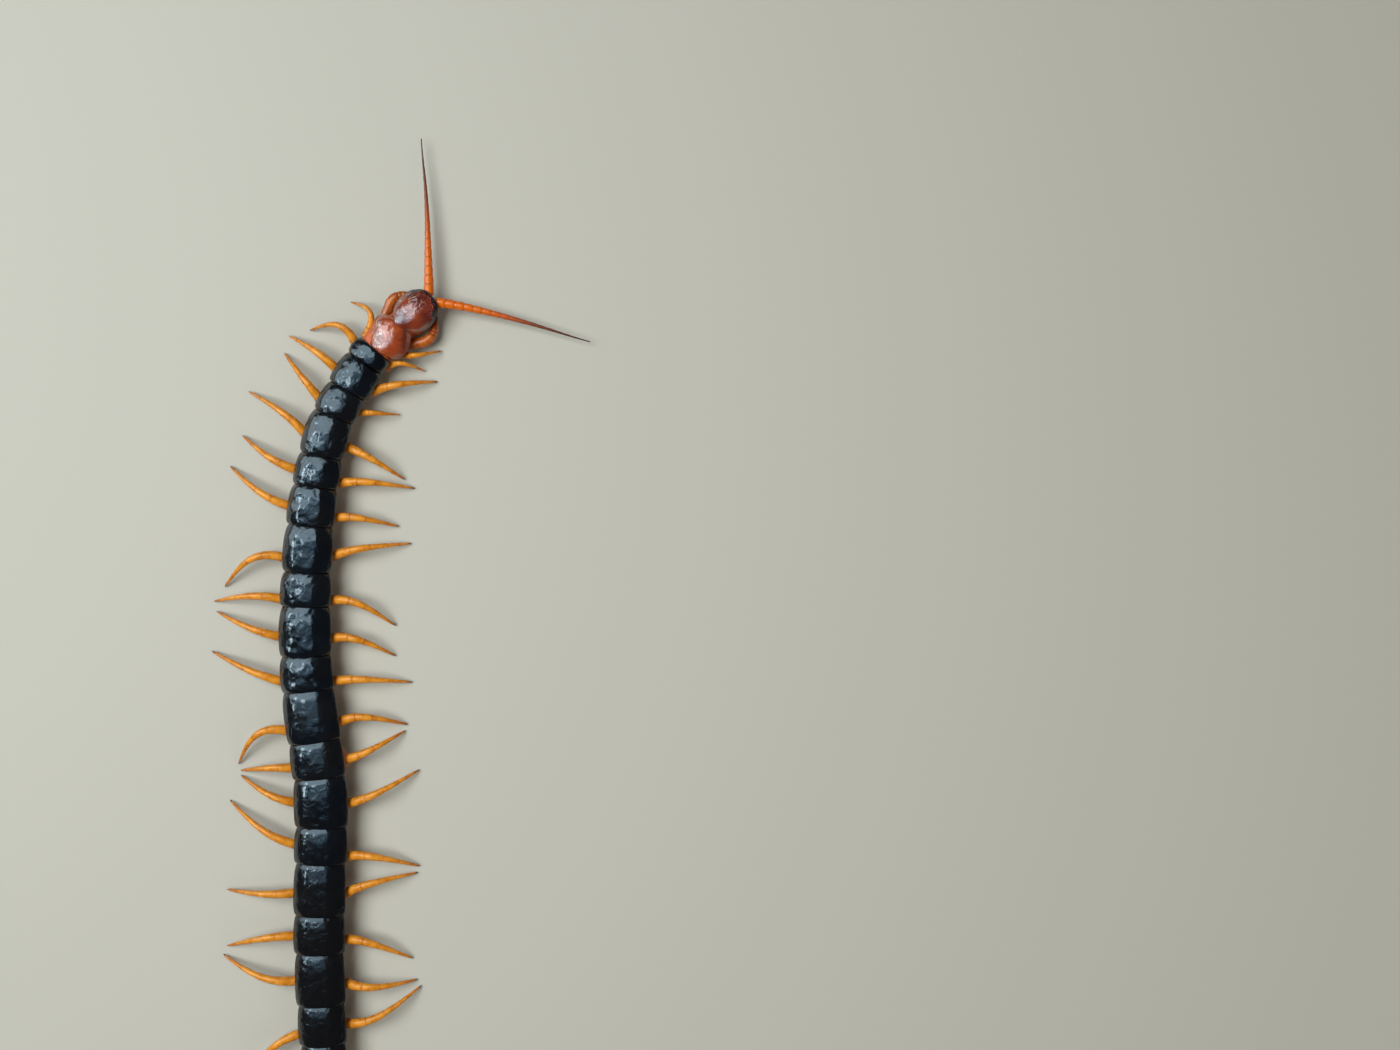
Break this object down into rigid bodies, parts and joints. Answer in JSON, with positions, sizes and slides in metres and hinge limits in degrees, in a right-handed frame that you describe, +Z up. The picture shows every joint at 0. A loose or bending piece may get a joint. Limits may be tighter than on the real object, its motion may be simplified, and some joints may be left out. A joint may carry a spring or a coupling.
{
  "type": "giant centipede figure",
  "caption": "Life-size giant centipede at rest, with a black plated back, a red head, amber legs, poison claws and long feelers.",
  "frame": {"origin": "centre of the bounding box on the floor, under the animal", "axes": "+Y along the body towards the head and the left feeler, +Z up, +X to the right of the picture"},
  "size_m": [0.0762, 0.2202, 0.008],
  "materials": {
    "black_shell": "glossy near-black chitin with a blue-grey sheen",
    "red_shell": "glossy chestnut-red chitin",
    "leg": "satin amber-orange chitin, darker at the joints and tips",
    "feeler": "satin orange-red chitin, browner towards the tip",
    "poison_claw": "glossy orange chitin, black at the tip",
    "eye": "glossy black lenses"
  },
  "bodies": {
    "root": {"head": "red_shell", "eyes_left": "eye", "eyes_right": "eye", "antenna_left": "feeler", "antenna_right": "feeler", "forcipule_left": "poison_claw", "forcipule_right": "poison_claw", "trunk_01": "red_shell", "trunk_02_03": "black_shell", "trunk_04_05": "black_shell", "trunk_06_07": "black_shell", "trunk_08_09": "black_shell", "trunk_10_11": "black_shell", "trunk_12_13": "black_shell", "trunk_14_15": "black_shell", "trunk_16_17": "black_shell", "trunk_18_19": "black_shell", "trunk_20_21": "black_shell", "leg_left_01": "leg", "leg_left_02": "leg", "leg_left_03": "leg", "leg_left_04": "leg", "leg_left_05": "leg", "leg_left_06": "leg", "leg_left_07": "leg", "leg_left_08": "leg", "leg_left_09": "leg", "leg_left_10": "leg", "leg_left_11": "leg", "leg_left_12": "leg", "leg_left_13": "leg", "leg_left_14": "leg", "leg_left_15": "leg", "leg_left_16": "leg", "leg_left_17": "leg", "leg_left_18": "leg", "leg_left_19": "leg", "leg_left_20": "leg", "leg_left_21": "leg", "leg_right_01": "leg", "leg_right_02": "leg", "leg_right_03": "leg", "leg_right_04": "leg", "leg_right_05": "leg", "leg_right_06": "leg", "leg_right_07": "leg", "leg_right_08": "leg", "leg_right_09": "leg", "leg_right_10": "leg", "leg_right_11": "leg", "leg_right_12": "leg", "leg_right_13": "leg", "leg_right_14": "leg", "leg_right_15": "leg", "leg_right_16": "leg", "leg_right_17": "leg", "leg_right_18": "leg", "leg_right_19": "leg", "leg_right_20": "leg", "leg_right_21": "leg"}
  },
  "joints": []
}
